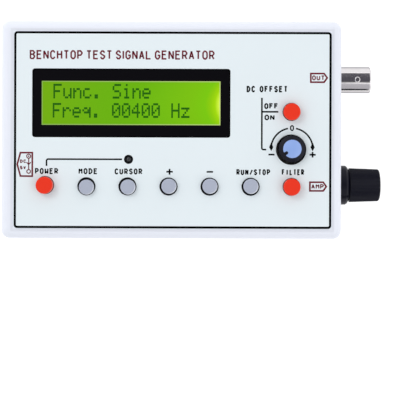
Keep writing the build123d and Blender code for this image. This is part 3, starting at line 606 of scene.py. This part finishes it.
# Offset dial: a sweep either side of its zero, arrowheads pointing down, and signs
sweep_centre, sweep = (dial.x + 0.06, dial.y - 0.12), 7.52
strip(black, arc(sweep_centre, sweep, 172, 101), LINE_WIDTH)
strip(black, arc(sweep_centre, sweep, 79, 8), LINE_WIDTH)
for side in (-1, 1):
    x, y = sweep_centre[0] + side * (sweep - 0.1), dial.y - 0.87
    patch(black, [(x, y), (x + 0.75, y + 1.4), (x, y + 3.2), (x - 0.75, y + 1.4)])
lettering(black, "0", (dial.x + 0.08, dial.y + 7.43), (1.45, 2.1), 0.46)
minus_sign(dial.x - 7.27, dial.y - 2.12, 1.1)
plus_sign(dial.x + 7.48, dial.y - 2.12, 1.1, 1.0)
make_piece("panel_print_black", black, INKS["black"], "case")

# ---------------------------------------------------------------- dark red print

red = bmesh.new()
TAG_LINE = 0.6
SYMBOL_LINE = 0.36

bezel = middle("lcd_bezel")
bezel_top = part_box("lcd_bezel")[1].y / MM
lettering(red, "BENCHTOP TEST SIGNAL GENERATOR", (bezel.x - 3.33, bezel_top + 5.03), (66.3, 3.3), 0.55,
          gap=0.22, narrow={"I": 0.3, " ": 0.2})

# Tags that point out to the output socket and the amplitude knob: text, node, inset, rise
TAGS = [("OUT", "bnc_insulator", 7.47, 0.22), ("AMP", "amplitude_pot_shaft", 7.68, 0.05)]
TAG_HALF = 1.55
TAG_SHOULDER = 4.77
TAG_LENGTH = 5.87
for text, node, inset, rise in TAGS:
    x, y = edge_high.x - inset, middle(node).y + rise
    strip(red, [(x, y - TAG_HALF), (x, y + TAG_HALF), (x + TAG_SHOULDER, y + TAG_HALF), (x + TAG_LENGTH, y),
                (x + TAG_SHOULDER, y - TAG_HALF)], TAG_LINE, closed=True)
    lettering(red, text, (x + 2.72, y), (4.5, 1.75), 0.4, gap=0.2)

# Tag that points out to the power inlet, with its voltage and a polarity symbol
inlet_y = middle("dc_jack_pin").y
tag_tip, tag_shoulder, tag_end = edge_low.x + 1.35, edge_low.x + 2.5, edge_low.x + 6.75
strip(red, [(tag_tip, inlet_y - 0.17), (tag_shoulder, inlet_y + 3.97), (tag_end, inlet_y + 4.0),
            (tag_end, inlet_y - 4.45), (tag_shoulder, inlet_y - 4.4)], TAG_LINE, closed=True)
lettering(red, "DC", (edge_low.x + 3.45, inlet_y + 0.92), (2.2, 1.25), 0.34, gap=0.25)
lettering(red, "5V", (edge_low.x + 3.4, inlet_y - 1.4), (2.1, 1.25), 0.34, gap=0.25)
symbol_x = edge_low.x + 5.45
ring(red, (symbol_x, inlet_y + 2.72), 0.72, SYMBOL_LINE)
patch(red, arc((symbol_x, inlet_y + 2.72), 0.28, 0, 330, 11))
strip(red, [(symbol_x, inlet_y + 1.9), (symbol_x, inlet_y - 2.0)], SYMBOL_LINE)
strip(red, [(symbol_x - 0.75, inlet_y + 0.6), (symbol_x, inlet_y - 0.3), (symbol_x + 0.75, inlet_y + 0.6)],
      SYMBOL_LINE)
ring(red, (symbol_x, inlet_y - 2.75), 0.66, SYMBOL_LINE)
make_piece("panel_print_red", red, INKS["red"], "case")

# ---------------------------------------------------------------- characters on the display

# Each character as seven rows of five dots, from the top
DOTS = {
    "F": "##### #.... #.... ####. #.... #.... #....",
    "u": "..... ..... #...# #...# #...# #..## .##.#",
    "n": "..... ..... #.##. ##..# #...# #...# #...#",
    "c": "..... ..... .###. #.... #.... #...# .###.",
    ".": "..... ..... ..... ..... ..... .##.. .##..",
    "S": ".#### #.... #.... .###. ....# ....# ####.",
    "i": "..#.. ..... .##.. ..#.. ..#.. ..#.. .###.",
    "e": "..... ..... .###. #...# ##### #.... .###.",
    "r": "..... ..... #.##. ##..# #.... #.... #....",
    "q": "..... ..... .##.# #..## .#### ....# ....#",
    "0": ".###. #...# #..## #.#.# ##..# #...# .###.",
    "4": "...#. ..##. .#.#. #..#. ##### ...#. ...#.",
    "H": "#...# #...# #...# ##### #...# #...# #...#",
    "z": "..... ..... ##### ...#. ..#.. .#... #####",
}
DOT_PITCH = (0.60, 0.755)
DOT_SIZE = (0.59, 0.73)
CELL_PITCH = 3.55


def display_line(mesh, text, left_x, top_y, z_range):
    """A line of characters, one flat shape for each dot."""
    for cell, letter in enumerate(text):
        for row, dots in enumerate(DOTS.get(letter, "").split()):
            for column, dot in enumerate(dots):
                if dot == "#":
                    x = left_x + CELL_PITCH * cell + DOT_PITCH[0] * column
                    y = top_y - DOT_PITCH[1] * row
                    low_y, high_x = y - DOT_SIZE[1], x + DOT_SIZE[0]
                    patch(mesh, [(x, low_y), (high_x, low_y), (high_x, y), (x, y)], z_range)


display = middle("lcd_polarizer")
readout = bmesh.new()
display_line(readout, "Func. Sine", display.x - 28.05, display.y + 6.86, level("lcd_polarizer"))
display_line(readout, "Freq. 00400 Hz", display.x - 28.27, display.y - 0.03, level("lcd_polarizer"))
make_piece("display_readout", readout, INKS["segment"], "case")

# ---------------------------------------------------------------- studio

scene = bpy.context.scene


def stage_sheet(name, corners, tone, rough, **sockets):
    """A flat stage surface between four corners, in metres."""
    mesh = bmesh.new()
    mesh.faces.new([mesh.verts.new(corner) for corner in corners])
    data = bpy.data.meshes.new(name)
    mesh.to_mesh(data)
    mesh.free()
    finish = moulded(name, tone, rough, mottle=0.01, cloud=3.0, pores=400.0, depth=1e-5, **sockets)
    data.materials.append(finish)
    surface = bpy.data.objects.new(name, data)
    scene.collection.objects.link(surface)


def level_sheet(low, high, height):
    """The corners of a level rectangle."""
    return [(low[0], low[1], height), (high[0], low[1], height), (*high, height), (low[0], high[1], height)]


# The floor glows, to show as white as the photograph's background
stage_sheet("floor", level_sheet((-3.0, -3.0), (3.0, 3.0), -0.0002), (165, 165, 166), 0.7,
            Emission_Color=(1.0, 1.0, 1.0, 1.0), Emission_Strength=0.85)

# A dark card overhead and a grey one in front, for the bright metal of the socket to mirror
stage_sheet("card_above", level_sheet((0.09, -0.15), (0.26, 1.15), 0.6), (82, 80, 90), 0.9)
stage_sheet("card_front", [(0.05, -0.5, 0.04), (0.22, -0.5, 0.04), (0.22, -0.5, 0.8), (0.05, -0.5, 0.8)],
            (196, 195, 200), 0.9)

# Sky of the studio: bright at mid height, dim straight above, and dimmer towards the front
SKY_LEVELS = [(0.0, 0.8), (0.3, 1.0), (0.75, 1.0), (0.88, 0.75), (0.93, 0.2), (1.0, 0.16)]
SKY_BLUE = 1.01
SKY_STRENGTH = 1.345
SKY_FRONT = 0.4
world = bpy.data.worlds.new("studio")
scene.world = world
world.use_nodes = True
sky = world.node_tree
background = sky.nodes["Background"]
direction = axes_of(sky, sky.nodes.new("ShaderNodeTexCoord").outputs["Generated"])
sky_stops = [(height, (bright, bright, bright * SKY_BLUE, 1.0)) for height, bright in SKY_LEVELS]
front = arithmetic(sky, "MINIMUM", direction["Y"], 0.0)
feed(sky, background.inputs["Color"], ramp(sky, direction["Z"], sky_stops))
feed(sky, background.inputs["Strength"], arithmetic(sky, "MULTIPLY_ADD", front, SKY_FRONT, SKY_STRENGTH))


def softbox(name, place, size, power):
    """A square area light aimed at the origin, in metres and watts."""
    data = bpy.data.lights.new(name, "AREA")
    data.size = size
    data.energy = power
    lamp = bpy.data.objects.new(name, data)
    lamp.location = place
    lamp.rotation_mode = "QUATERNION"
    lamp.rotation_quaternion = (-Vector(place)).to_track_quat("-Z", "Y")
    scene.collection.objects.link(lamp)


softbox("key", (-0.42, 0.38, 0.62), 0.3, 1.1)
softbox("fill", (0.5, -0.4, 0.6), 0.6, 1.0)

# Camera square above the panel, turned and shifted as the photograph is framed
CAMERA_X = 0.0103
CAMERA_RISE = 0.455
CAMERA_TURN = 0.18
camera_data = bpy.data.cameras.new("camera")
camera_data.sensor_width = 36.0
camera_data.lens = 114.2
camera_data.clip_start = 0.01
camera_data.clip_end = 20.0
camera_data.shift_y = -0.175
camera = bpy.data.objects.new("camera", camera_data)
camera.location = (CAMERA_X, 0.0, top_of("panel_overlay") * MM + CAMERA_RISE)
camera.rotation_euler = (0.0, 0.0, radians(CAMERA_TURN))
scene.collection.objects.link(camera)
scene.camera = camera
scene.view_settings.view_transform = "Standard"
